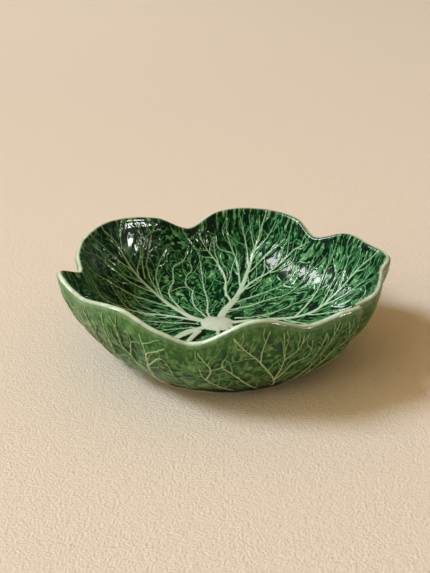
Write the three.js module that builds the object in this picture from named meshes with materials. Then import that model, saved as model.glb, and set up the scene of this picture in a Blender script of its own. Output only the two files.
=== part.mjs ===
// A serving bowl shaped as an open cabbage: five leaves grow together into one wavy-lipped
// shell, which stands on a low ring of bare clay.
// Lengths are millimetres and +Z is up. Both pieces are drawn about the foot's own axis, and the
// finished bowl is then moved so that the middle of its bounding box stands on the origin.
import * as THREE from "three";

// Points of the lip: bearing from +X in degrees, reach from the foot's axis to the outer side of
// the lip, and height of the lip's top. Each leaf runs from one dip in the lip to the next.
const LIP_POINTS = [
  // right leaf
  { bearing: -31, reach: 110, height: 62 },
  { bearing: -18, reach: 115, height: 63 },
  { bearing: -5, reach: 116, height: 66 },
  { bearing: 4, reach: 124, height: 69 },
  { bearing: 16, reach: 118, height: 70 },
  { bearing: 30, reach: 116, height: 68 },
  { bearing: 44, reach: 108, height: 57 },
  // back leaf
  { bearing: 57, reach: 116, height: 67 },
  { bearing: 77, reach: 122, height: 68 },
  { bearing: 92, reach: 121, height: 64 },
  { bearing: 104, reach: 114, height: 53 },
  // back left leaf, which ends in a notch
  { bearing: 118, reach: 122, height: 63 },
  { bearing: 139, reach: 126, height: 69 },
  { bearing: 155, reach: 123, height: 66 },
  { bearing: 167, reach: 116, height: 63 },
  { bearing: 179, reach: 109, height: 59 },
  // front left leaf, whose tip stands out beside the notch
  { bearing: 188, reach: 120, height: 68 },
  { bearing: 204, reach: 115, height: 63 },
  { bearing: 232, reach: 113, height: 73 },
  { bearing: 248, reach: 113, height: 64 },
  { bearing: 260, reach: 110, height: 58 },
  // front right leaf
  { bearing: 280, reach: 112, height: 75 },
  { bearing: 300, reach: 110, height: 64 },
  { bearing: 318, reach: 117, height: 68 },
];

const LIP_THICKNESS = 5; // also the diameter of the lip's rounding
const FLOOR_HEIGHT = 11.5; // top of the floor above the table
const FLOOR_RADIUS = 50; // the floor is level out to here

const FOOT_RADIUS = 74; // outer radius of the foot ring, where the belly starts
const FOOT_WIDTH = 6;
const FOOT_HEIGHT = 4;
const FOOT_ROUNDING = 1;
const FOOT_GAP = 0.3; // between the ring and the underside of the shell

// Each side of the wall starts at one slope and reaches the lip at another. A pull is the length
// of a curve handle, as a share of the straight distance from the wall's start to the lip.
const BELLY_SLOPE = THREE.MathUtils.degToRad(20);
const BELLY_PULL = 0.17;
const FLOOR_SLOPE = 0;
const FLOOR_PULL = 0.35;
const LIP_SLOPE = THREE.MathUtils.degToRad(82);
const LIP_PULL = 0.52;

const STEPS_AROUND = 96;
const LEVEL_STEPS = 2;
const WALL_STEPS = 11;
const LIP_STEPS = 4;
const FOOT_STEPS_AROUND = 64;
const FOOT_CORNER_STEPS = 2;

const GREEN_GLAZE = new THREE.MeshStandardMaterial({ color: 0x3d6b3a, roughness: 0.15, metalness: 0 });
const BARE_CLAY = new THREE.MeshStandardMaterial({ color: 0xc49a6c, roughness: 0.8, metalness: 0 });

// Height and reach of the lip at any bearing: a smooth closed curve through the lip's points.
function lipAt(bearing) {
  const count = LIP_POINTS.length;
  const pointAt = (k) => {
    const turns = Math.floor(k / count);
    const point = LIP_POINTS[k - turns * count];
    return { ...point, bearing: point.bearing + 360 * turns };
  };
  const start = LIP_POINTS[0].bearing;
  const wrapped = start + THREE.MathUtils.euclideanModulo(bearing - start, 360);
  let k = 0;
  while (pointAt(k + 1).bearing <= wrapped) k += 1;
  const [before, from, to, after] = [k - 1, k, k + 1, k + 2].map(pointAt);
  const span = to.bearing - from.bearing;
  const t = (wrapped - from.bearing) / span;
  const blend = (key) => {
    const leaving = ((to[key] - before[key]) / (to.bearing - before.bearing)) * span;
    const arriving = ((after[key] - from[key]) / (after.bearing - from.bearing)) * span;
    const rise = to[key] - from[key];
    const square = 3 * rise - 2 * leaving - arriving;
    const cube = leaving + arriving - 2 * rise;
    return from[key] + t * (leaving + t * (square + t * cube));
  };
  return { reach: blend("reach"), height: blend("height") };
}

// One side of the wall, from `start` up to `lip`. It leaves at `slope`, by `pull`.
function wallCurve(start, slope, pull, lip) {
  const chord = start.distanceTo(lip);
  const leaving = new THREE.Vector2(Math.cos(slope), Math.sin(slope)).multiplyScalar(pull * chord);
  const arriving = new THREE.Vector2(Math.cos(LIP_SLOPE), Math.sin(LIP_SLOPE));
  arriving.multiplyScalar(LIP_PULL * chord);
  return new THREE.CubicBezierCurve(start, leaving.add(start), lip.clone().sub(arriving), lip);
}

// The shell's section at one bearing, as (reach, height) pairs from the middle of the underside,
// up the outside, over the lip, and down the inside to the middle of the floor.
function shellSection(bearing) {
  const { reach, height } = lipAt(bearing);
  const rounding = LIP_THICKNESS / 2;
  const lipCentre = new THREE.Vector2(reach - rounding, height - rounding);
  const outerLip = new THREE.Vector2(reach, lipCentre.y);
  const innerLip = new THREE.Vector2(reach - LIP_THICKNESS, lipCentre.y);
  const bellyEdge = new THREE.Vector2(FOOT_RADIUS, FOOT_HEIGHT + FOOT_GAP);
  const floorEdge = new THREE.Vector2(FLOOR_RADIUS, FLOOR_HEIGHT);

  const underside = new THREE.LineCurve(new THREE.Vector2(0, bellyEdge.y), bellyEdge);
  const outside = wallCurve(bellyEdge, BELLY_SLOPE, BELLY_PULL, outerLip);
  const lip = new THREE.EllipseCurve(lipCentre.x, lipCentre.y, rounding, rounding, 0, Math.PI);
  const inside = wallCurve(floorEdge, FLOOR_SLOPE, FLOOR_PULL, innerLip);
  const floor = new THREE.LineCurve(floorEdge, new THREE.Vector2(0, floorEdge.y));

  return [
    ...underside.getPoints(LEVEL_STEPS),
    ...outside.getPoints(WALL_STEPS).slice(1),
    ...lip.getPoints(LIP_STEPS).slice(1, -1),
    ...inside.getPoints(WALL_STEPS).reverse(),
    ...floor.getPoints(LEVEL_STEPS).slice(1),
  ];
}

// A closed skin over sections that all begin and end on the upright axis.
function skinOverSections(sections) {
  const rings = sections[0].length - 2;
  const positions = [];
  sections.forEach((section, step) => {
    const angle = (step / sections.length) * 2 * Math.PI;
    section.slice(1, -1).forEach(({ x, y }) => {
      positions.push(x * Math.cos(angle), x * Math.sin(angle), y);
    });
  });
  const bottom = positions.length / 3;
  const top = bottom + 1;
  positions.push(0, 0, sections[0][0].y);
  positions.push(0, 0, sections[0][rings + 1].y);

  const faces = [];
  sections.forEach((_, step) => {
    const here = step * rings;
    const next = ((step + 1) % sections.length) * rings;
    faces.push(bottom, next, here);
    for (let ring = 0; ring < rings - 1; ring += 1) {
      faces.push(here + ring, next + ring, next + ring + 1);
      faces.push(here + ring, next + ring + 1, here + ring + 1);
    }
    faces.push(here + rings - 1, next + rings - 1, top);
  });

  const skin = new THREE.BufferGeometry();
  skin.setAttribute("position", new THREE.Float32BufferAttribute(positions, 3));
  skin.setIndex(faces);
  skin.computeVertexNormals();
  return skin;
}

function leafBowl() {
  const sections = [];
  for (let step = 0; step < STEPS_AROUND; step += 1) {
    sections.push(shellSection((step / STEPS_AROUND) * 360));
  }
  const bowl = new THREE.Mesh(skinOverSections(sections), GREEN_GLAZE);
  bowl.name = "leaf_bowl";
  return bowl;
}

// A ring with a flat underside to stand on and rounded lower edges.
function footRing() {
  const corner = (x, startAngle) =>
    new THREE.EllipseCurve(
      x, FOOT_ROUNDING, FOOT_ROUNDING, FOOT_ROUNDING, startAngle, startAngle + Math.PI / 2,
    ).getPoints(FOOT_CORNER_STEPS);
  const innerRadius = FOOT_RADIUS - FOOT_WIDTH;
  const outline = [
    new THREE.Vector2(innerRadius, FOOT_HEIGHT),
    ...corner(innerRadius + FOOT_ROUNDING, Math.PI),
    ...corner(FOOT_RADIUS - FOOT_ROUNDING, 1.5 * Math.PI),
    new THREE.Vector2(FOOT_RADIUS, FOOT_HEIGHT),
    new THREE.Vector2(innerRadius, FOOT_HEIGHT),
  ];
  const ring = new THREE.Mesh(new THREE.LatheGeometry(outline, FOOT_STEPS_AROUND), BARE_CLAY);
  ring.rotation.x = Math.PI / 2; // a lathe turns about Y, and the foot stands along Z
  ring.name = "foot_ring";
  return ring;
}

const cabbageBowl = new THREE.Group();
cabbageBowl.add(leafBowl(), footRing());

const bounds = new THREE.Box3().setFromObject(cabbageBowl);
const middle = bounds.getCenter(new THREE.Vector3());
cabbageBowl.position.set(-middle.x, -middle.y, -bounds.min.z);

export default cabbageBowl;
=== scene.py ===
import math

import bpy
import numpy as np
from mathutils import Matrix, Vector


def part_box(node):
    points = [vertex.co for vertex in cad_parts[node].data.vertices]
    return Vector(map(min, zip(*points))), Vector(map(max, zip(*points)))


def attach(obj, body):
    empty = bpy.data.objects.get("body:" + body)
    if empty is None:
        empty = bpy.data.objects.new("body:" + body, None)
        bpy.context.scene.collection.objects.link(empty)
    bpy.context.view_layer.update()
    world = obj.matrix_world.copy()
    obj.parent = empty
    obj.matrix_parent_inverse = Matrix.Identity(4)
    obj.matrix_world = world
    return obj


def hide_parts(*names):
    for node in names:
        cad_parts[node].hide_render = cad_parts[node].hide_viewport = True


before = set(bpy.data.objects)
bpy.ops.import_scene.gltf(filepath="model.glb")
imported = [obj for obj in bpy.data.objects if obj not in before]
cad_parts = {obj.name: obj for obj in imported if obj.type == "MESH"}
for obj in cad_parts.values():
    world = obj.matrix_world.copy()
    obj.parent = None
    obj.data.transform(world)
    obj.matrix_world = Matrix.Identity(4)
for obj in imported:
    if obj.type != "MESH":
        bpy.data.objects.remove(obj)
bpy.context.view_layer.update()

# ---------------------------------------------------------------------------
# Driving sizes. Lengths are millimetres until a mesh is made, angles degrees.
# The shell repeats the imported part's own, with finer turns in its lip.
# ---------------------------------------------------------------------------
MM = 0.001

# Lip: bearing from +X, reach from the foot's axis to the outer side, and height of the top.
LIP_POINTS = np.array([
    # right leaf
    (-22, 116, 63), (-12, 117, 64.5), (-4, 118.5, 66), (4, 125.5, 69), (16, 118, 70), (30, 116, 68),
    (44, 108, 58.5),
    # back leaf
    (57, 116, 67), (77, 122, 68), (92, 121, 64), (105, 114, 53),
    # back left leaf, which ends in a notch
    (118, 122, 63), (139, 126, 69), (155, 123.5, 66), (167, 116.5, 63), (179, 109, 59),
    # front left leaf, whose tip stands out beside the notch
    (188, 121.5, 67.5), (204, 113.5, 63), (232, 113, 73), (248, 113, 64), (260, 110, 58),
    # front right leaf, which ends in a fold
    (280, 112, 75), (300, 110, 64), (313, 114.5, 67.5), (321.5, 117, 66.5), (327, 110, 62),
], float)
LIP_THICKNESS = 5.0
FLOOR_HEIGHT = 11.5
FLOOR_RADIUS = 50.0
FOOT_RADIUS = 74.0
FOOT_GAP = 0.3
# Each side of the wall is one curve, given by its slope at each end and by how far that slope pulls on it,
# as a share of the chord.
BELLY_SLOPE, BELLY_PULL = math.radians(20), 0.17
FLOOR_SLOPE, FLOOR_PULL = 0.0, 0.35
LIP_SLOPE, LIP_PULL = math.radians(82), 0.52

foot_low, foot_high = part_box("foot_ring")
FOOT_HEIGHT = foot_high.z / MM
FOOT_AXIS = np.array([(foot_low.x + foot_high.x) / 2, (foot_low.y + foot_high.y) / 2]) / MM

GRID = 640  # vertices along each side of a surface's square grid
LIP_ROWS = 8
CELLS = 1200  # across a relief map
MAP_REACH = 153.0  # half of a relief map's width, along the surface
CELL = 2 * MAP_REACH / CELLS
INSIDE_ARC = 140.0  # mean length of a section, from the middle of the surface to the lip
OUTSIDE_ARC = 150.0

DISC = (126, 0.056)  # bearing and share of the stem disc's middle on the floor
DISC_RADIUS = 12.4
DISC_HEIGHT = 3.7

UPPER_NEIGHBOUR = 1.001  # kept free at the end of a table, for a look-up between two entries

rng = np.random.default_rng(7)


# ---------------------------------------------------------------------------
# The bare shell: an inside and an outside surface, each addressed by bearing
# and by share of the way from its middle to the lip.
# ---------------------------------------------------------------------------
def cubic(t, start, start_rise, stop, stop_rise):
    """The curve from start to stop with these rises at its ends, at t from 0 to 1."""
    return ((2 * t**3 - 3 * t**2 + 1) * start + (t**3 - 2 * t**2 + t) * start_rise
            + (3 * t**2 - 2 * t**3) * stop + (t**3 - t**2) * stop_rise)


def lip_at(bearings):
    """Reach and height of the lip: a smooth closed curve through its points."""
    count = len(LIP_POINTS)
    turns = np.array([(-360, 0, 0), (0, 0, 0), (360, 0, 0)])
    points = (LIP_POINTS[None] + turns[:, None]).reshape(-1, 3)
    before, after = np.roll(points, 1, 0), np.roll(points, -1, 0)
    rise = (after[:, 1:] - before[:, 1:]) / (after[:, :1] - before[:, :1])
    start = LIP_POINTS[0, 0]
    wrapped = (np.asarray(bearings) - start) % 360 + start
    k = np.searchsorted(points[:, 0], wrapped, side="right") - 1
    k = np.clip(k, count - 1, 2 * count)
    span = (points[k + 1, 0] - points[k, 0])[:, None]
    t = (wrapped - points[k, 0])[:, None] / span
    return cubic(t, points[k, 1:], span * rise[k], points[k + 1, 1:], span * rise[k + 1])


def wall_curve(start, slope, pull, reach, height, t):
    """One side of the wall, from its start up to the lip, as (reach, height) at each t."""
    chord = np.hypot(reach - start[0], height - start[1])
    stops = [
        (start[0], start[1]),
        (start[0] + pull * chord * math.cos(slope), start[1] + pull * chord * math.sin(slope)),
        (reach - LIP_PULL * chord * math.cos(LIP_SLOPE), height - LIP_PULL * chord * math.sin(LIP_SLOPE)),
        (reach, height),
    ]
    weights = [(1 - t)**3, 3 * (1 - t)**2 * t, 3 * (1 - t) * t**2, t**3]
    return (sum(w * p[0] for w, p in zip(weights, stops)),
            sum(w * p[1] for w, p in zip(weights, stops)))


class Surface:
    """A side of the shell as tables of place and normal, over bearing and share."""

    BEARINGS, SHARES, LEVEL = 1440, 360, 60

    def __init__(self, inside):
        bearings = np.arange(self.BEARINGS) * 360 / self.BEARINGS
        r, z = self.even_sections(*self.sections(inside, bearings))
        angle = np.radians(bearings)[:, None]
        x, y = FOOT_AXIS[0] + r * np.cos(angle), FOOT_AXIS[1] + r * np.sin(angle)
        self.place = np.stack([x, y, z], -1)
        around = np.roll(self.place, -1, 0) - np.roll(self.place, 1, 0)
        along = np.gradient(self.place, axis=1)
        normal = np.cross(along, around) if inside else np.cross(around, along)
        normal[:, 0] = normal[:, 1]  # all bearings meet in the middle, where nothing turns round
        self.normal = normal / np.linalg.norm(normal, axis=-1, keepdims=True)

    def sections(self, inside, bearings):
        """Reach and height along the section at each bearing: a level floor, then the wall."""
        lip = lip_at(bearings)
        reach = lip[:, :1] - (LIP_THICKNESS if inside else 0)
        height = lip[:, 1:] - LIP_THICKNESS / 2
        t = np.linspace(0, 1, self.SHARES)[None]
        if inside:
            start = (FLOOR_RADIUS, FLOOR_HEIGHT)
            r, z = wall_curve(start, FLOOR_SLOPE, FLOOR_PULL, reach, height, t)
        else:
            start = (FOOT_RADIUS, FOOT_HEIGHT + FOOT_GAP)
            r, z = wall_curve(start, BELLY_SLOPE, BELLY_PULL, reach, height, t)
        level = np.linspace(0, start[0], self.LEVEL)[None, :-1].repeat(self.BEARINGS, 0)
        return np.concatenate([level, r], 1), np.concatenate([np.full_like(level, start[1]), z], 1)

    def even_sections(self, r, z):
        """The sections with their points moved to even distances along them."""
        length = np.cumsum(np.hypot(np.diff(r), np.diff(z)), 1)
        arc = np.concatenate([np.zeros((self.BEARINGS, 1)), length], 1)
        share = np.linspace(0, 1, self.SHARES)
        return [np.array([np.interp(share * a[-1], a, row) for a, row in zip(arc, rows)]) for rows in (r, z)]

    def at(self, table, angle, share):
        """Bilinear look-up. angle is in radians."""
        u = (angle / (2 * math.pi) * self.BEARINGS) % self.BEARINGS
        v = np.clip(share, 0, 1) * (self.SHARES - UPPER_NEIGHBOUR)
        i, j = u.astype(int), v.astype(int)
        fu, fv = (u - i)[..., None], (v - j)[..., None]
        i, after = i % self.BEARINGS, (i + 1) % self.BEARINGS
        return ((table[i, j] * (1 - fv) + table[i, j + 1] * fv) * (1 - fu)
                + (table[after, j] * (1 - fv) + table[after, j + 1] * fv) * fu)


# ---------------------------------------------------------------------------
# Relief maps: square arrays laid over a flattened surface, whose middle is the
# middle of the map. x and y are millimetres along the surface.
# ---------------------------------------------------------------------------
def to_cells(xy):
    """Millimetres on a relief map as a count of its cells."""
    return (np.asarray(xy) + MAP_REACH) / CELL - 0.5


def look_up(field, x, y):
    """Bilinear value of a map at x, y."""
    u = np.clip(to_cells(x), 0, CELLS - UPPER_NEIGHBOUR)
    v = np.clip(to_cells(y), 0, CELLS - UPPER_NEIGHBOUR)
    i, j = u.astype(int), v.astype(int)
    fu, fv = u - i, v - j
    return ((field[i, j] * (1 - fv) + field[i, j + 1] * fv) * (1 - fu)
            + (field[i + 1, j] * (1 - fv) + field[i + 1, j + 1] * fv) * fu)


FREQUENCY = np.hypot(np.fft.fftfreq(CELLS, CELL)[:, None], np.fft.rfftfreq(CELLS, CELL)[None])


def blurred(field, radius):
    """Gaussian blur, radius in mm."""
    kernel = np.exp(-2 * (math.pi * radius * FREQUENCY)**2)
    return np.fft.irfft2(np.fft.rfft2(field) * kernel, s=field.shape)


def noise(radius):
    """Smooth noise of unit deviation whose lumps are about `radius` mm."""
    lumps = blurred(rng.standard_normal((CELLS, CELLS)), radius)
    return lumps / lumps.std()


def smooth_step(low, high, value):
    t = np.clip((value - low) / (high - low), 0, 1)
    return t * t * (3 - 2 * t)


MAP_LINE = (np.arange(CELLS) + 0.5) * CELL - MAP_REACH
MAP_X, MAP_Y = np.meshgrid(MAP_LINE, MAP_LINE, indexing="ij")


def stamp(target, points, radius, height, flatness=1.0):
    """Raises target to a ridge along the points, of these half-widths and heights.

    A flatness above 1 gives it a flat top.
    """
    centre = to_cells(points)
    span = int(math.ceil(radius.max() / CELL)) + 1
    steps = np.arange(-span, span + 1)
    base = np.round(centre).astype(int)
    i = base[:, 0, None, None] + steps[None, :, None]
    j = base[:, 1, None, None] + steps[None, None, :]
    i, j = np.broadcast_arrays(i, j)
    away = np.hypot(i - centre[:, 0, None, None], j - centre[:, 1, None, None]) * CELL
    profile = np.clip(flatness * (1 - (away / radius[:, None, None])**2), 0, 1)
    ridge = height[:, None, None] * profile
    inside = (ridge > 0) & (i >= 0) & (i < CELLS) & (j >= 0) & (j < CELLS)
    np.maximum.at(target, (i[inside], j[inside]), ridge[inside])


# ---------------------------------------------------------------------------
# Veins. Order 0 is a midrib, 1 a main vein, 2 and 3 the side veins that grow from them.
# ---------------------------------------------------------------------------
FINEST_ORDER = 3
PATH_STEP = 0.5
TRACE_STEP = 0.7
TAKEN_REACH = 0.5  # ground on each side of a vein that another can't enter
BARE_END = 5.0  # of each vein, where nothing grows from it
LEAVING_STEPS = 6  # in which a new vein may still touch its parent
FEWEST_POINTS = 5
LAST_SHARE = 0.985  # of the way to the lip, where a traced vein stops


def chart_points(route, arc):
    """Route stops (bearing, share) as x, y on a flattened surface."""
    stops = np.array(route, float)
    angle = np.radians(stops[:, 0])
    return np.stack([np.cos(angle), np.sin(angle)], 1) * stops[:, 1:] * arc


def smooth_path(stops):
    """A smooth path through the stops, with points about PATH_STEP apart."""
    stops = np.asarray(stops, float)
    before = np.concatenate([2 * stops[:1] - stops[1:2], stops[:-1]])
    after = np.concatenate([stops[1:], 2 * stops[-1:] - stops[-2:-1]])
    rise = (after - before) / 2
    pieces = []
    for k in range(len(stops) - 1):
        length = np.linalg.norm(stops[k + 1] - stops[k])
        t = np.linspace(0, 1, max(2, int(length / PATH_STEP)), endpoint=False)[:, None]
        pieces.append(cubic(t, stops[k], rise[k], stops[k + 1], rise[k + 1]))
    return np.concatenate(pieces + [stops[-1:]])


class Veins:
    """A growing set of veins on one flattened surface."""

    def __init__(self, arc):
        self.arc = arc
        self.paths = []  # (points, order, half-width at each point)
        self.taken = np.zeros((CELLS, CELLS), np.int32)

    def add(self, points, order, start_width, end_width):
        t = np.linspace(0, 1, len(points))
        width = end_width + (start_width - end_width) * (1 - t)**1.5
        self.paths.append((points, order, width / 2))
        ij = np.clip(np.round(to_cells(points)).astype(int), 1, CELLS - 2)
        number = len(self.paths)
        reach = max(1, int(round(TAKEN_REACH / CELL)))
        for di in range(-reach, reach + 1):
            for dj in range(-reach, reach + 1):
                spot = (np.clip(ij[:, 0] + di, 0, CELLS - 1), np.clip(ij[:, 1] + dj, 0, CELLS - 1))
                self.taken[spot] = number

    def grow(self, order, parents, spacing, angle, reach, widths, bend, wander, skip=0.0):
        """Grows side veins off every vein of the parent orders, on both sides in turn.

        They leave at about `angle` degrees, turn outwards by `bend` and stray by `wander` at each step.
        `skip` is the share left out, and `widths` are those at a vein's start and end.
        """
        for number, (points, parent_order, _) in list(enumerate(self.paths, 1)):
            if parent_order not in parents:
                continue
            along = np.concatenate([[0], np.cumsum(np.linalg.norm(np.diff(points, axis=0), axis=1))])
            side = 1 if rng.random() < 0.5 else -1
            at = spacing * (0.5 + rng.random())
            while at < along[-1] - BARE_END:
                k = int(np.searchsorted(along, at))
                if 1 <= k < len(points) - 1 and rng.random() >= skip:
                    heading = points[k + 1] - points[k - 1]
                    turn = math.radians(angle) * (0.75 + 0.5 * rng.random())
                    direction = math.atan2(heading[1], heading[0]) + side * turn
                    length = reach * (0.6 + 0.8 * rng.random())
                    self.trace(points[k], direction, number, order, length, widths, bend, wander)
                side = -side
                at += spacing * (0.7 + 0.6 * rng.random()) / 2

    def trace(self, start, direction, parent, order, reach, widths, bend, wander):
        """Walks a side vein until it is long enough or meets another vein."""
        place = np.array(start, float)
        drift = 0.0
        points = [place.copy()]
        for k in range(int(reach / TRACE_STEP)):
            outward = math.atan2(place[1], place[0])
            off = (outward - direction + math.pi) % (2 * math.pi) - math.pi
            drift = 0.8 * drift + wander * rng.standard_normal()
            direction += bend * off + drift
            place = place + TRACE_STEP * np.array([math.cos(direction), math.sin(direction)])
            if np.hypot(*place) > self.arc * LAST_SHARE:
                break
            points.append(place.copy())
            spot = np.round(to_cells(place)).astype(int)
            met = self.taken[spot[0], spot[1]]
            if met and (met != parent or k > LEAVING_STEPS):
                break
        if len(points) >= FEWEST_POINTS:
            self.add(np.array(points), order, *widths)


# Ribs and main veins of the inside: order, width at the start and at the end, and the stops.
INSIDE_VEINS = [
    # back left leaf: its midrib, and the veins that leave it on both sides
    (0, 7.0, 1.5, [DISC, (145, 0.19), (138, 0.37), (135, 0.56), (137, 0.78), (139, 0.9), (144, 1)]),
    (1, 1.8, 1.0, [(137, 0.86), (136, 0.93), (134, 1)]),
    (1, 1.8, 1.0, [(135, 0.53), (142, 0.66), (146, 0.78), (152, 0.9), (162, 1)]),
    (1, 1.9, 1.0, [(139, 0.37), (146, 0.54), (152, 0.73), (159, 0.84), (166, 0.98)]),
    (1, 1.6, 1.0, [(136, 0.72), (141, 0.8), (146, 0.91), (151, 1)]),
    (0, 4.4, 1.1, [DISC, (152, 0.2), (157, 0.37), (163, 0.56), (168, 0.75), (175, 0.97)]),
    (1, 1.6, 1.0, [(133, 0.65), (130, 0.74), (127, 0.84), (122, 0.94)]),
    (1, 1.9, 1.0, [(135, 0.46), (130, 0.56), (126, 0.66), (121, 0.75), (116, 0.84)]),
    (1, 1.5, 0.9, [(160, 0.14), (168, 0.3), (171, 0.5), (176, 0.68), (182, 0.86)]),
    # quilted ground between the back left and the back leaf
    (1, 2.2, 1.1, [(139, 0.26), (132, 0.38), (127, 0.5), (119, 0.6), (115, 0.72), (109, 0.8), (106, 0.9)]),
    (1, 2.0, 1.0, [DISC, (124, 0.17), (121, 0.3), (114, 0.44), (111, 0.52), (113, 0.57), (110, 0.67),
                   (106, 0.74), (107, 0.82)]),
    (1, 1.3, 1.0, [(113, 0.55), (119, 0.53), (125, 0.51)]),
    (1, 2.1, 1.1, [DISC, (115, 0.2), (104, 0.39), (102, 0.59), (101, 0.72), (102, 0.85), (107, 0.98)]),
    # back leaf
    (0, 9.5, 1.6, [DISC, (90, 0.17), (78, 0.36), (76, 0.6), (74, 0.8), (71, 1)]),
    (0, 3.2, 1.1, [(81, 0.31), (87, 0.42), (88, 0.57), (92, 0.69), (98, 0.85), (101, 0.97)]),
    (1, 2.1, 1.0, [(76, 0.67), (78, 0.77), (80, 0.86), (82, 0.97)]),
    (1, 2.2, 1.0, [(78, 0.5), (82, 0.68), (86, 0.8), (88, 0.9), (88, 1)]),
    (1, 1.4, 0.9, [(85, 0.75), (91, 0.79), (94, 0.88)]),
    (1, 1.7, 1.0, [(75, 0.62), (70, 0.71), (66, 0.78), (60, 0.88)]),
    (1, 1.8, 1.0, [(74, 0.77), (69, 0.86), (66, 0.96)]),
    (0, 3.4, 1.1, [(79, 0.35), (72, 0.53), (64, 0.64), (58, 0.75), (53, 0.86), (46, 0.98)]),
    (1, 1.9, 0.9, [(81, 0.28), (66, 0.41), (57, 0.52), (50, 0.66), (48, 0.8)]),
    (1, 2.2, 1.0, [(85, 0.2), (60, 0.31), (52, 0.46), (45, 0.58), (42, 0.7), (41, 0.9)]),
    (1, 2.0, 1.0, [(60, 0.14), (34, 0.27), (33, 0.4), (33, 0.5), (29, 0.64)]),
    # right leaf
    (0, 6.6, 1.6, [DISC, (40, 0.12), (20, 0.28), (16, 0.5), (18, 0.68), (15, 0.86), (9, 1)]),
    (1, 2.4, 1.1, [(18, 0.42), (26, 0.54), (30, 0.65), (33, 0.8), (32, 0.96)]),
    (1, 1.9, 1.0, [(17, 0.56), (23, 0.67), (26, 0.78), (26, 0.9)]),
    (1, 1.8, 1.0, [(18, 0.72), (22, 0.83), (22, 0.93), (20, 1)]),
    (1, 2.1, 1.0, [(17, 0.6), (12, 0.76), (8, 0.9)]),
    (1, 2.0, 1.0, [(16, 0.47), (8, 0.61), (3, 0.76), (0, 0.92)]),
    (1, 1.9, 1.0, [(17, 0.34), (2, 0.46), (354, 0.62), (350, 0.8), (348, 0.98)]),
    # front right leaf
    (0, 6.6, 1.5, [DISC, (310, 0.14), (300, 0.34), (293, 0.55), (288, 0.78), (283, 1)]),
    (0, 5.0, 1.2, [DISC, (345, 0.12), (330, 0.32), (322, 0.55), (318, 0.78), (316, 1)]),
    # front left leaf
    (0, 8.6, 1.5, [DISC, (190, 0.16), (206, 0.3), (213, 0.5), (219, 0.75), (226, 1)]),
    (0, 6.0, 1.3, [(196, 0.14), (224, 0.27), (238, 0.48), (244, 0.72), (246, 1)]),
    (1, 3.0, 1.0, [DISC, (262, 0.18), (264, 0.4), (262, 0.66), (260, 0.95)]),
    (1, 1.6, 0.9, [(178, 0.16), (186, 0.34), (190, 0.56), (191, 0.8)]),
]


def inside_veins():
    """The listed veins and the side veins that grow from them."""
    veins = Veins(INSIDE_ARC)
    for order, start_width, end_width, route in INSIDE_VEINS:
        veins.add(smooth_path(chart_points(route, INSIDE_ARC)), order, start_width, end_width)
    veins.grow(1, (0,), 14, 28, 70, (1.6, 0.9), 0.03, 0.02, skip=0.3)
    veins.grow(2, (0, 1), 11, 34, 22, (1.2, 0.8), 0.05, 0.05)
    veins.grow(3, (1, 2), 9, 50, 8, (0.9, 0.7), 0.03, 0.09)
    return veins


# Main veins of the outside, which fan up from the foot towards the lip, written in the same way.
OUTSIDE_VEINS = [
    # front right leaf
    (1, 2.0, 0.9, [(296, 0.5), (291, 0.66), (283, 0.79), (277, 0.88), (273, 0.97)]),
    (1, 1.3, 0.8, [(283, 0.79), (283, 0.87), (285, 0.97)]),
    (1, 1.6, 0.8, [(291, 0.66), (292, 0.82), (290, 0.97)]),
    (1, 1.2, 0.7, [(292, 0.82), (297, 0.9), (298, 0.97)]),
    (1, 1.6, 0.8, [(291, 0.65), (296, 0.79), (302, 0.85), (302, 0.94)]),
    (1, 1.2, 0.8, [(303, 0.78), (306, 0.87), (307, 0.95)]),
    (1, 1.7, 0.8, [(303, 0.6), (306, 0.74), (310, 0.9), (312, 0.98)]),
    (1, 1.6, 0.8, [(307, 0.6), (313, 0.78), (318, 0.86), (316, 0.96)]),
    (1, 1.5, 0.8, [(314, 0.6), (320, 0.74), (330, 0.92)]),
    # between the two front leaves
    (1, 1.7, 0.8, [(289, 0.5), (281, 0.6), (273, 0.75), (269, 0.84), (271, 0.89)]),
    (1, 1.2, 0.7, [(270, 0.83), (265, 0.84), (262, 0.85)]),
    (1, 1.7, 0.8, [(276, 0.5), (272, 0.58), (266, 0.7), (262, 0.8), (261, 0.89)]),
    (1, 1.4, 0.8, [(263, 0.77), (265, 0.85), (261, 0.97)]),
    # front left leaf
    (1, 2.0, 0.9, [(243, 0.5), (240, 0.63), (240, 0.71), (242, 0.86), (241, 0.96)]),
    (1, 1.3, 0.8, [(241, 0.8), (243, 0.87), (250, 0.95)]),
    (1, 1.3, 0.8, [(240, 0.75), (247, 0.87), (250, 0.84), (251, 0.7)]),
    (1, 2.1, 0.9, [(242, 0.5), (237, 0.66), (233, 0.75), (230, 0.82), (230, 0.9), (228, 0.97)]),
    (1, 1.3, 0.8, [(233, 0.77), (236, 0.88), (235, 0.93)]),
    (1, 1.8, 0.9, [(226, 0.5), (221, 0.7), (223, 0.8), (223, 0.89), (224, 0.98)]),
    (1, 1.7, 0.9, [(217, 0.5), (214, 0.66), (212, 0.74), (214, 0.86), (211, 0.96)]),
    (1, 1.5, 0.8, [(206, 0.5), (204, 0.68), (203, 0.82), (200, 0.96)]),
]
# Bearing and half-spread of the fans on the rest of the outside, each of three veins from one place.
OUTSIDE_FANS = [
    (340, 7), (4, 7), (28, 7), (52, 6), (74, 7), (98, 6), (122, 7), (144, 7), (168, 6), (190, 6),
]
FAN_FOOT, FAN_BOW, FAN_TIP = 0.56, 0.75, 0.9  # shares of the way to the lip


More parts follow.
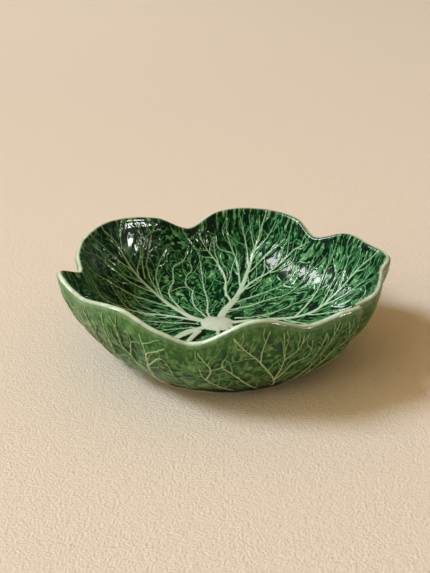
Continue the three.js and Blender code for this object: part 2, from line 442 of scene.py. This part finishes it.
def outside_veins():
    """The listed veins, the fans, and the side veins that grow from both."""
    veins = Veins(OUTSIDE_ARC)
    for order, start_width, end_width, route in OUTSIDE_VEINS:
        veins.add(smooth_path(chart_points(route, OUTSIDE_ARC)), order, start_width, end_width)
    for bearing, spread in OUTSIDE_FANS:
        for side in (-1, 0, 1):
            tip = bearing + side * spread * (1.2 + 0.5 * rng.random())
            bow = bearing + side * spread * 0.7 + rng.uniform(-2, 2)
            route = [
                (bearing, FAN_FOOT),
                (bow, FAN_BOW + 0.03 * rng.standard_normal()),
                (tip, FAN_TIP + 0.07 * rng.random()),
            ]
            veins.add(smooth_path(chart_points(route, OUTSIDE_ARC)), 1, 1.7, 0.7)
    veins.grow(2, (1,), 13, 48, 17, (1.1, 0.7), 0.05, 0.05)
    veins.grow(3, (1, 2), 11, 60, 7, (0.8, 0.6), 0.03, 0.09)
    return veins


RIDGE_BREADTH, LIGHT_BREADTH = 1.5, 0.92  # of a vein's relief and of its pale line, against its width
LEAST_LIGHT = 0.5  # half-width of the finest pale line
LIGHT_FLATNESS = 2.5
LIGHT_LOST = 0.25  # share of a vein's paleness lost on the way to the lip


def vein_fields(veins, heights, pale, breadth=1.0):
    """Maps of the veins' ridge height and of their paleness, which are given for each order."""
    ridge = np.zeros((CELLS, CELLS))
    light = np.zeros((CELLS, CELLS))
    for points, order, half in veins.paths:
        tall = heights[order] * (half / half.max())**0.6
        fade = 1 - LIGHT_LOST * np.hypot(*points.T) / veins.arc
        pale_half = np.maximum(half * LIGHT_BREADTH * breadth, LEAST_LIGHT)
        stamp(ridge, points, half * RIDGE_BREADTH * breadth, tall)
        stamp(light, points, pale_half, pale[order] * fade, LIGHT_FLATNESS)
    return ridge, light


FLOW_BLUR = 4.0  # how far a vein turns the ground beside it
OUTWARD_PULL = 2e-4  # weight of the outward direction, which rules where no vein is near


def flow_of(veins):
    """Unit direction of the nearest veins over the whole map. Opposite directions count as one."""
    even = np.zeros((2, CELLS, CELLS))
    for points, order, _ in veins.paths:
        if order == FINEST_ORDER:
            continue
        heading = np.gradient(points, axis=0)
        angle = 2 * np.arctan2(heading[:, 1], heading[:, 0])
        ij = np.clip(np.round(to_cells(points)).astype(int), 0, CELLS - 1)
        np.add.at(even[0], (ij[:, 0], ij[:, 1]), np.cos(angle))
        np.add.at(even[1], (ij[:, 0], ij[:, 1]), np.sin(angle))
    radial = 2 * np.arctan2(MAP_Y, MAP_X)
    outward = (np.cos(radial), np.sin(radial))
    blend = [blurred(e, FLOW_BLUR) + OUTWARD_PULL * o for e, o in zip(even, outward)]
    angle = np.arctan2(blend[1], blend[0]) / 2
    return np.cos(angle), np.sin(angle)


STREAK_STEP = 0.5


def streaked(field, flow, reach):
    """The field smeared along the flow, to `reach` mm each way, at unit deviation."""
    total = field.copy()
    for sign in (-1, 1):
        x, y = MAP_X.copy(), MAP_Y.copy()
        dx, dy = sign * flow[0], sign * flow[1]
        for _ in range(int(reach / STREAK_STEP)):
            x += STREAK_STEP * dx
            y += STREAK_STEP * dy
            total += look_up(field, x, y)
            nx, ny = look_up(flow[0], x, y), look_up(flow[1], x, y)
            same = np.sign(nx * dx + ny * dy)
            dx, dy = nx * same, ny * same
    total -= total.mean()
    return total / total.std()


def ridged(field, width):
    """Thin raised lines, 0 to 1, along the field's zero contours."""
    return np.clip(1 - np.abs(field) / width, 0, 1)


def pooled(height, reach):
    """How far each place stands above its neighbourhood: glaze runs off it and pools beside it."""
    return height - blurred(height, reach)


# Heights (mm) and paleness (0 to 1) of the veins of orders 0 to 3.
INSIDE_HEIGHTS, INSIDE_PALE = (2.3, 1.2, 0.75, 0.4), (1.0, 0.95, 0.74, 0.56)
OUTSIDE_HEIGHTS, OUTSIDE_PALE = (1.4, 1.1, 0.75, 0.5), (1.1, 1.1, 0.92, 0.74)
OUTSIDE_BREADTH = 1.3  # the outside's veins are this much broader than their widths say
QUILT_FROM, QUILT_TO, QUILT_BLEND = 96, 130, 4  # bearings of the ground that is blistered, not streaked
DOME_RADIUS = DISC_RADIUS + 2.1  # the disc's relief reaches a little past its pale glaze


def quilted_ground():
    """1 where the inside's ground is blistered, 0 where it runs in streaks."""
    bearing = np.degrees(np.arctan2(MAP_Y, MAP_X)) % 360
    begins = smooth_step(QUILT_FROM - QUILT_BLEND, QUILT_FROM + QUILT_BLEND, bearing)
    ends = smooth_step(QUILT_TO - QUILT_BLEND, QUILT_TO + QUILT_BLEND, bearing)
    return begins * (1 - ends)


def inside_relief():
    """Height over the inside, and the glaze's thinness with painted shade beside the veins."""
    veins = inside_veins()
    ridge, light = vein_fields(veins, INSIDE_HEIGHTS, INSIDE_PALE)
    flow = flow_of(veins)
    far = np.hypot(MAP_X, MAP_Y) / INSIDE_ARC
    quilted = quilted_ground()
    grain = noise(0.9)
    wrinkles = (1 - 0.8 * quilted) * streaked(grain, flow, 3.5) + 0.8 * quilted * grain
    folds = smooth_step(-0.6, 1.2, wrinkles)
    lumps = streaked(noise(2.6), flow, 4.0)

    middle = chart_points([DISC], INSIDE_ARC)[0]
    from_disc = np.hypot(MAP_X - middle[0], MAP_Y - middle[1]) + 0.4 * noise(4.0)
    disc = 1 - smooth_step(DISC_RADIUS - 1, DISC_RADIUS + 1, from_disc)
    dome = np.sqrt(np.clip(1 - (from_disc / DOME_RADIUS)**2, 0, 1))
    calm = np.clip(1 - blurred(light, 0.3) * 1.2 - disc, 0, 1)  # the ground between the veins
    lace = ridged((1 - quilted) * streaked(noise(1.35), flow, 2.5) + quilted * noise(1.5), 0.4)

    crisp = blurred(ridge, 0.3) + 0.22 * calm * folds
    height = np.maximum(crisp + 0.26 * calm * lumps, DISC_HEIGHT * blurred(dome, 0.8))
    height += 1.2 * blurred(calm, 3.0) * smooth_step(0.1, 0.2, far)
    height *= 1 - 0.6 * smooth_step(0.96, 1.0, far)

    # The glaze thins on folds and lace, and is thinnest over the veins and the disc. Beside the veins it is
    # dark: pooled glaze, with painted shade added for the shadows the raised veins would cast.
    thin = calm * (0.46 * folds + 0.32 * lace + 0.03 * lumps) + 0.55 * pooled(crisp, 1.8)
    # Painted shade: a dark halo round every vein, standing in for its shadow.
    thin -= 0.7 * blurred(light, 0.9)
    thin = np.maximum(thin, blurred(light, 0.12))
    thin = np.maximum(thin, 0.98 * disc + 0.05 * streaked(noise(0.8), flow, 2.0) * disc)
    return height, np.clip(thin, 0, 1)


def outside_relief():
    """Height over the outside, whose veins begin at the foot, and the glaze's thinness with painted shade
    beside the veins.
    """
    ridge, light = vein_fields(outside_veins(), OUTSIDE_HEIGHTS, OUTSIDE_PALE, OUTSIDE_BREADTH)
    far = np.hypot(MAP_X, MAP_Y) / OUTSIDE_ARC
    mottle = noise(1.15)
    lumps = noise(4.5)
    lace = ridged(noise(1.5), 0.35)
    calm = np.clip(1 - blurred(light, 0.5) * 1.3, 0, 1) * (1 - 0.6 * smooth_step(0.88, 0.98, far))

    height = blurred(ridge, 0.35) + calm * (0.18 * ridged(mottle, 0.8) + 0.4 * lumps)
    thin = 0.18 + calm * (0.32 * smooth_step(-0.7, 1.3, mottle) + 0.2 * lace) + 0.5 * pooled(height, 2.0)
    # Painted shade: a dark halo round every vein, standing in for its shadow.
    thin -= 0.36 * blurred(light, 1.0)
    thin -= 0.18 * (1 - smooth_step(0.5, 0.62, far))
    thin = np.maximum(thin, blurred(light, 0.18) * 0.95)
    thin += 0.14 * smooth_step(0.86, 0.98, far)

    # The underside and the edge of the lip stay smooth.
    height *= smooth_step(0.5, 0.54, far) * (1 - smooth_step(0.95, 1.0, far))
    return height, np.clip(thin, 0, 1)


# ---------------------------------------------------------------------------
# The shell's mesh
# ---------------------------------------------------------------------------
def disc_grid(count):
    """Angle and radius (0 to 1) of a square grid folded onto a disc, without a pole."""
    line = np.linspace(-1, 1, count)
    a, b = np.meshgrid(line, line, indexing="ij")
    wide = np.abs(a) > np.abs(b)
    radius = np.where(wide, np.abs(a), np.abs(b))
    safe_a, safe_b = np.where(a == 0, 1e-9, a), np.where(b == 0, 1e-9, b)
    angle = np.where(wide, math.pi / 4 * b / safe_a + np.where(a < 0, math.pi, 0),
                     math.pi / 2 - math.pi / 4 * a / safe_b + np.where(b < 0, math.pi, 0))
    return angle.ravel(), radius.ravel()


def rim_loop(count):
    """Indices of the grid's outer vertices, in order round the disc."""
    n = np.arange(count - 1)
    return np.concatenate([n * count, (count - 1) * count + n, (count - 1 - n) * count + count - 1,
                           count - 1 - n])


def surface_points(surface, relief, arc, angle, share):
    """Places on a surface with its relief, and the glaze's thinness and painted shade there."""
    height, thin = relief
    x, y = share * arc * np.cos(angle), share * arc * np.sin(angle)
    normal = surface.at(surface.normal, angle, share)
    place = surface.at(surface.place, angle, share) + look_up(height, x, y)[:, None] * normal
    return place, look_up(thin, x, y)


def mesh_of(name, place, faces, attributes, corner_uv):
    """A mesh of quads, with values at its vertices and one baking map over its corners."""
    mesh = bpy.data.meshes.new(name)
    mesh.vertices.add(len(place))
    mesh.vertices.foreach_set("co", (place * MM).astype(np.float32).ravel())
    mesh.loops.add(faces.size)
    mesh.loops.foreach_set("vertex_index", faces.astype(np.int32).ravel())
    mesh.polygons.add(len(faces))
    mesh.polygons.foreach_set("loop_start", np.arange(0, faces.size, 4, dtype=np.int32))
    mesh.polygons.foreach_set("use_smooth", np.ones(len(faces), bool))
    mesh.update(calc_edges=True)
    for key, values in attributes.items():
        layer = mesh.attributes.new(key, "FLOAT", "POINT")
        layer.data.foreach_set("value", values.astype(np.float32))
    layer = mesh.uv_layers.new(name="OFBake")
    layer.uv.foreach_set("vector", corner_uv.astype(np.float32).ravel())
    piece = bpy.data.objects.new(name, mesh)
    bpy.context.scene.collection.objects.link(piece)
    return piece


# Turns over the lip, in degrees from the outer edge to the inner one, between which a change takes place.
LIP_PALES = (12, 66)
LIP_GREENS = (92, 118)
LIP_TURNS_INSIDE = (100, 125)
BELOW_LIP = 0.97  # share of the way up the outside from which the lip takes its direction


def lip_rows(outer, inner, below, turns):
    """Rows of points over the lip: half a circle from outer to inner, standing on from the points below."""
    middle, half = (outer + inner) / 2, (outer - inner) / 2
    radius = np.linalg.norm(half, axis=1, keepdims=True)
    rise = outer - below
    rise -= (rise * half).sum(1, keepdims=True) * half / radius**2
    rise /= np.linalg.norm(rise, axis=1, keepdims=True)
    return np.concatenate([middle + math.cos(t) * half + math.sin(t) * radius * rise for t in turns])


def lip_strips(loop):
    """Faces of the strips over the lip, which join the outside's edge to the inside's."""
    side, around = GRID * GRID, len(loop)
    here = np.arange(around)
    after = (here + 1) % around
    rings = [side + loop] + [2 * side + k * around + here for k in range(LIP_ROWS - 1)] + [loop]
    return [np.stack([low, low[after], high[after], high], 1) for low, high in zip(rings, rings[1:])]


# The bowl's baking map: the inside's grid on the left, the outside's on the right, the lip along the bottom.
INSIDE_CORNER, OUTSIDE_CORNER = (0.004, 0.05), (0.506, 0.05)
GRID_SPAN = (0.49, 0.945)
LIP_LOW, LIP_SPAN = 0.004, 0.038


def bowl_baking_map(quads, around):
    """Places on the baking map of every face's corners, in the order of the faces."""
    line = np.linspace(0, 1, GRID)
    flat = np.stack(np.meshgrid(line, line, indexing="ij"), -1).reshape(-1, 2)
    maps = [INSIDE_CORNER + flat[quads] * GRID_SPAN, OUTSIDE_CORNER + flat[quads[:, ::-1]] * GRID_SPAN]
    start, stop = np.arange(around) / around, (np.arange(around) + 1) / around
    for k in range(LIP_ROWS):
        low, high = (LIP_LOW + LIP_SPAN * n / LIP_ROWS for n in (k, k + 1))
        corners = ((start, low), (stop, low), (stop, high), (start, high))
        maps.append(np.stack([np.stack([u, np.full(around, v)], -1) for u, v in corners], 1))
    return np.concatenate(maps)


def build_bowl():
    """The whole shell: both sides with their relief, joined over the lip."""
    inside, outside = Surface(True), Surface(False)
    angle, share = disc_grid(GRID)
    in_place, in_thin = surface_points(inside, inside_relief(), INSIDE_ARC, angle, share)
    out_place, out_thin = surface_points(outside, outside_relief(), OUTSIDE_ARC, angle, share)
    i, j = np.meshgrid(np.arange(GRID - 1), np.arange(GRID - 1), indexing="ij")
    corner = (i * GRID + j).ravel()
    quads = np.stack([corner, corner + GRID, corner + GRID + 1, corner + 1], 1)

    loop = rim_loop(GRID)
    turns = np.linspace(0, math.pi, LIP_ROWS + 1)[1:-1]
    below = outside.at(outside.place, angle[loop], np.full(len(loop), BELOW_LIP))
    lip_place = lip_rows(out_place[loop], in_place[loop], below, turns)

    # The glaze: how thinly it lies, with the painted shade beside the veins, which side it is on, and how
    # much of the lip's pale edge it shows.
    side = GRID * GRID
    lip_turn = np.degrees(np.repeat(turns, len(loop)))
    over = smooth_step(*LIP_TURNS_INSIDE, lip_turn)
    bright = smooth_step(*LIP_PALES, lip_turn) * (1 - smooth_step(*LIP_GREENS, lip_turn))
    lip_thin = np.tile(out_thin[loop], len(turns)) * (1 - over) + np.tile(in_thin[loop], len(turns)) * over
    attributes = {
        "thin": np.concatenate([in_thin, out_thin, lip_thin]),
        "outer": np.concatenate([np.zeros(side), np.ones(side), 1 - over]),
        "lip": np.concatenate([np.zeros(side), 0.15 * smooth_step(0.985, 1.0, share), bright]),
    }
    return mesh_of(
        "leaf_bowl_skin",
        np.concatenate([in_place, out_place, lip_place]),
        np.concatenate([quads, side + quads[:, ::-1]] + lip_strips(loop)),
        attributes,
        bowl_baking_map(quads, len(loop)),
    )


# Foot ring: a turned section, glazed down to a wavy line just above the table.
RING_STEPS = 360
RING_STRIPS = 8  # lengths that the ring is cut into on its baking map
RING_TOP = FOOT_HEIGHT + 0.25  # just short of the shell's underside
RING_OUTER, RING_INNER = FOOT_RADIUS, FOOT_RADIUS - 6.0
RING_INSET = 0.1
BASE_ROUNDING, TOP_ROUNDING = 1.0, 0.3
GLAZE_LINE = 1.2
# Waves round the ring, as height in mm and count.
RING_WAVES = ((0.06, 3), (0.04, 7), (0.025, 19))
GLAZE_WAVES = ((0.25, 5), (0.2, 13), (0.12, 31))


def ring_section():
    """The foot ring's section as (reach, height), anticlockwise from the foot of its outer wall."""
    corners = [
        (RING_OUTER, 0, -90),
        (RING_OUTER, RING_TOP, 0),
        (RING_INNER, RING_TOP, 90),
        (RING_INNER, 0, 180),
    ]
    wall = np.linspace(BASE_ROUNDING + TOP_ROUNDING, RING_TOP - 2 * TOP_ROUNDING, 7)
    section = []
    for r, z, start in corners:
        rounding = BASE_ROUNDING if z == 0 else TOP_ROUNDING
        centre_r = r - math.copysign(rounding, r - (RING_OUTER + RING_INNER) / 2)
        centre_z = z + math.copysign(rounding, RING_TOP / 2 - z)
        for a in np.radians(start + np.linspace(0, 90, 6)):
            section.append((centre_r + rounding * math.cos(a), centre_z + rounding * math.sin(a)))
        if start == -90:
            section += [(RING_OUTER, height) for height in wall]
        if start == 90:
            section += [(RING_INNER, height) for height in wall[::-1]]
    return np.array(section)


def wavy(turn, waves):
    """The sum of the waves at each turn, each wave begun at a random place."""
    return sum(height * np.sin(count * turn + rng.uniform(0, 6)) for height, count in waves)


def ring_baking_map(i, j, count):
    """The ring unrolled and cut into strips, one above another."""
    along = i * RING_STRIPS / RING_STEPS
    strip = np.floor(along)
    u, u_step = 0.02 + 0.96 * (along - strip), 0.96 * RING_STRIPS / RING_STEPS
    v, v_step = (strip + 0.06 + 0.88 * j / count) / RING_STRIPS, 0.88 / count / RING_STRIPS
    corners = ((u, v), (u + u_step, v), (u + u_step, v + v_step), (u, v + v_step))
    return np.stack([np.stack(corner, -1) for corner in corners], -2)


def build_foot_ring():
    """The section turned round the foot's axis, a little out of true."""
    section = ring_section()
    count = len(section)
    turn = np.arange(RING_STEPS) * 2 * math.pi / RING_STEPS
    r = section[None, :, 0] - RING_INSET + wavy(turn, RING_WAVES)[:, None]
    x = FOOT_AXIS[0] + r * np.cos(turn)[:, None]
    y = FOOT_AXIS[1] + r * np.sin(turn)[:, None]
    place = np.stack([x, y, np.broadcast_to(section[None, :, 1], r.shape)], -1)
    above = section[None, :, 1] - GLAZE_LINE - wavy(turn, GLAZE_WAVES)[:, None]
    i, j = np.meshgrid(np.arange(RING_STEPS), np.arange(count), indexing="ij")
    next_i, next_j = (i + 1) % RING_STEPS, (j + 1) % count
    faces = np.stack([i * count + j, next_i * count + j, next_i * count + next_j, i * count + next_j], -1)
    return mesh_of(
        "foot_ring_skin",
        place.reshape(-1, 3),
        faces.reshape(-1, 4),
        {"glazed": smooth_step(-0.2, 0.2, above).ravel()},
        ring_baking_map(i, j, count),
    )


# ---------------------------------------------------------------------------
# Materials
# ---------------------------------------------------------------------------
def srgb(red, green, blue):
    """A colour given as 0 to 255 screen values."""
    def linear(v):
        v /= 255
        return v / 12.92 if v <= 0.04045 else ((v + 0.055) / 1.055)**2.4
    return (linear(red), linear(green), linear(blue), 1.0)


def grey(value):
    return (value, value, value, 1.0)


class Nodes:
    """A small helper to write a material's nodes down briefly."""

    def __init__(self, name):
        self.material = bpy.data.materials.new(name)
        self.material.use_nodes = True
        self.tree = self.material.node_tree
        self.shader = self.tree.nodes["Principled BSDF"]

    def feed(self, socket, value):
        """Links an output to the socket, or sets a plain value on it."""
        if isinstance(value, bpy.types.NodeSocket):
            self.tree.links.new(value, socket)
        else:
            socket.default_value = value

    def add(self, kind, **inputs):
        """A new node. An input is given by its name, or by its place as _0 or _1."""
        node = self.tree.nodes.new("ShaderNode" + kind)
        for key, value in inputs.items():
            socket = int(key[1:]) if key.startswith("_") else key.replace("_", " ")
            self.feed(node.inputs[socket], value)
        return node

    def surface(self, name, value):
        """Sets or links one input of the surface's own shader."""
        self.feed(self.shader.inputs[name], value)

    def attribute(self, name):
        node = self.tree.nodes.new("ShaderNodeAttribute")
        node.attribute_name = name
        return node.outputs["Fac"]

    def ramp(self, value, stops):
        node = self.add("ValToRGB", Fac=value)
        elements = node.color_ramp.elements
        while len(elements) < len(stops):
            elements.new(0.5)
        for element, (position, colour) in zip(elements, stops):
            element.position = position
            element.color = colour
        return node.outputs["Color"]

    def maths(self, operation, a, b):
        node = self.add("Math", _0=a, _1=b)
        node.operation = operation
        return node.outputs[0]

    def mix(self, factor, a, b):
        """A mix of two colours, whose sockets are the node's 6 and 7."""
        node = self.tree.nodes.new("ShaderNodeMix")
        node.data_type = "RGBA"
        for index, value in ((0, factor), (6, a), (7, b)):
            self.feed(node.inputs[index], value)
        return node.outputs[2]

    def place(self):
        """Where a point lies on the object, in metres."""
        return self.tree.nodes.new("ShaderNodeTexCoord").outputs["Object"]

    def noise(self, scale, detail):
        return self.add("TexNoise", Vector=self.place(), Scale=scale, Detail=detail).outputs["Fac"]

    def bump(self, strength, distance, height):
        """Raises the surface by a pattern, to a distance in metres."""
        node = self.add("Bump", Strength=strength, Distance=distance, Height=height)
        self.surface("Normal", node.outputs["Normal"])


def shiny(m):
    """A clear, smooth glaze surface over the colour, with faint pits."""
    m.surface("Roughness", m.ramp(m.noise(90, 2), [(0.35, grey(0.36)), (0.65, grey(0.48))]))
    m.surface("Specular IOR Level", 0.05)
    m.surface("Coat IOR", 1.42)
    m.surface("Coat Roughness", 0.11)
    m.bump(0.12, 0.0004, m.noise(1100, 3))


# Glaze colours, from where it pools to where it thins away. Their dark end also paints the shade beside the
# veins.
INSIDE_GLAZE = [
    (0.0, srgb(4, 31, 15)), (0.18, srgb(16, 68, 32)), (0.36, srgb(48, 114, 60)),
    (0.56, srgb(104, 162, 104)), (0.78, srgb(172, 206, 162)), (1.0, srgb(208, 214, 194)),
]
OUTSIDE_GLAZE = [
    (0.0, srgb(8, 48, 22)), (0.2, srgb(28, 80, 36)), (0.38, srgb(68, 116, 54)),
    (0.56, srgb(108, 148, 84)), (0.8, srgb(178, 194, 142)), (1.0, srgb(200, 208, 166)),
]


def glaze_material():
    """Green glaze, whose colour follows its thinness and the painted shade beside the veins. It shines less
    outside.
    """
    m = Nodes("green_glaze")
    speckle = m.maths("MULTIPLY", m.maths("SUBTRACT", m.noise(650, 3), 0.5), 0.22)
    varied = m.maths("ADD", m.attribute("thin"), speckle)
    body = m.mix(m.attribute("outer"), m.ramp(varied, INSIDE_GLAZE), m.ramp(varied, OUTSIDE_GLAZE))
    worn = m.ramp(m.noise(140, 4), [(0.3, srgb(176, 196, 152)), (0.65, srgb(216, 226, 204))])
    m.surface("Base Color", m.mix(m.attribute("lip"), body, worn))
    m.surface("Coat Weight", m.maths("SUBTRACT", 1.0, m.maths("MULTIPLY", m.attribute("outer"), 0.45)))
    shiny(m)
    return m.material


def clay_material():
    """Bare buff clay, with glaze where the ring is glazed."""
    m = Nodes("bare_clay")
    grain = m.noise(700, 4)
    clay = m.ramp(grain, [(0.3, srgb(204, 182, 152)), (0.7, srgb(224, 206, 178))])
    glaze = m.ramp(m.noise(160, 3), [(0.3, srgb(24, 62, 36)), (0.7, srgb(48, 92, 52))])
    matt = m.ramp(grain, [(0.3, grey(0.7)), (0.7, grey(0.9))])
    m.surface("Base Color", m.mix(m.attribute("glazed"), clay, glaze))
    m.surface("Roughness", m.mix(m.attribute("glazed"), matt, grey(0.15)))
    m.bump(0.3, 0.0003, grain)
    return m.material


def paper_material():
    """Pale textured paper, whose grain flattens out towards the back."""
    m = Nodes("pale_table")
    grain = m.noise(620, 4)
    weave = m.maths("ADD", grain, m.maths("MULTIPLY", m.noise(230, 3), 0.6))
    m.surface("Base Color", m.ramp(grain, [(0.3, srgb(221, 206, 182)), (0.7, srgb(231, 216, 194))]))
    m.surface("Roughness", 0.85)
    m.surface("Specular IOR Level", 0.2)
    back = m.add("SeparateXYZ", Vector=m.place()).outputs["Y"]
    pressed = m.add("MapRange", Value=back, From_Min=-0.1, From_Max=0.25, To_Min=1.0, To_Max=0.4)
    m.bump(pressed.outputs["Result"], 0.001, weave)
    return m.material


# ---------------------------------------------------------------------------
# The scene
# ---------------------------------------------------------------------------
bowl = build_bowl()
bowl.data.materials.append(glaze_material())
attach(bowl, "root")
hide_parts("leaf_bowl")

foot = build_foot_ring()
foot.data.materials.append(clay_material())
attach(foot, "root")
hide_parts("foot_ring")

TABLE_SIZE = 24  # metres, so that its edge stays far behind the bowl
bpy.ops.mesh.primitive_plane_add(size=TABLE_SIZE)
table = bpy.context.object
table.name = "table"
table.data.materials.append(paper_material())

# Camera: 25 degrees above the table, looking along +Y.
AIM = Vector((-8.5, -1.3, 46)) * MM
CAMERA_DISTANCE = 650 * MM
CAMERA_RISE = math.radians(25)
CAMERA_LENS, CAMERA_SENSOR = 54.2, 36
camera_data = bpy.data.cameras.new("camera")
camera_data.sensor_width = CAMERA_SENSOR
camera_data.lens = CAMERA_LENS
camera = bpy.data.objects.new("camera", camera_data)
camera.location = AIM + CAMERA_DISTANCE * Vector((0, -math.cos(CAMERA_RISE), math.sin(CAMERA_RISE)))
camera.rotation_euler = (math.pi / 2 - CAMERA_RISE, 0, 0)
bpy.context.scene.collection.objects.link(camera)
bpy.context.scene.camera = camera


def toward(azimuth, elevation, distance):
    """A place at this distance from the bowl, in a light's direction."""
    a, e = math.radians(azimuth), math.radians(elevation)
    return AIM + distance * Vector((math.cos(e) * math.cos(a), math.cos(e) * math.sin(a), math.sin(e)))


def light(name, kind, place, power, colour, aim=AIM, mirrored=False, **settings):
    """A light that looks at aim. A mirrored one shows only in gloss, the others only by what they light."""
    data = bpy.data.lights.new(name, kind)
    data.energy = power
    data.color = colour
    for key, value in settings.items():
        setattr(data, key, value)
    lamp = bpy.data.objects.new(name, data)
    lamp.location = place
    lamp.rotation_euler = (Vector(place) - aim).to_track_quat("Z", "Y").to_euler()
    lamp.visible_glossy = mirrored
    lamp.visible_diffuse = not mirrored
    bpy.context.scene.collection.objects.link(lamp)


light("key", "SUN", toward(179, 44, 2.0), 2.9, (0.69, 0.80, 1.0), angle=math.radians(20))
light("fill", "AREA", toward(218, 30, 1.5), 8.2, (1.0, 0.9, 0.74), shape="SQUARE", size=1.2)
light("ceiling", "AREA", toward(90, 85, 2.6), 130.0, (1.0, 0.71, 0.38), shape="SQUARE", size=10.0)
light("backdrop", "SPOT", (-1.0, 1.9, 1.9), 23.0, (0.95, 0.93, 0.9), aim=Vector((-1.0, 1.9, 0)),
      spot_size=math.radians(110), spot_blend=1.0)
light("left_window", "AREA", toward(176, 39, 1.3), 19.0, (0.93, 0.98, 0.94), mirrored=True,
      shape="SQUARE", size=0.55)
light("right_window", "AREA", toward(334, 18, 1.6), 18.0, (0.97, 1.0, 0.94), mirrored=True,
      shape="RECTANGLE", size=0.34, size_y=0.46)

ROOM_COLOUR, ROOM_STRENGTH = (1.0, 0.72, 0.4, 1), 0.1
world = bpy.data.worlds.new("room")
world.use_nodes = True
world.node_tree.nodes["Background"].inputs["Color"].default_value = ROOM_COLOUR
world.node_tree.nodes["Background"].inputs["Strength"].default_value = ROOM_STRENGTH
bpy.context.scene.world = world
bpy.context.scene.view_settings.view_transform = "Standard"
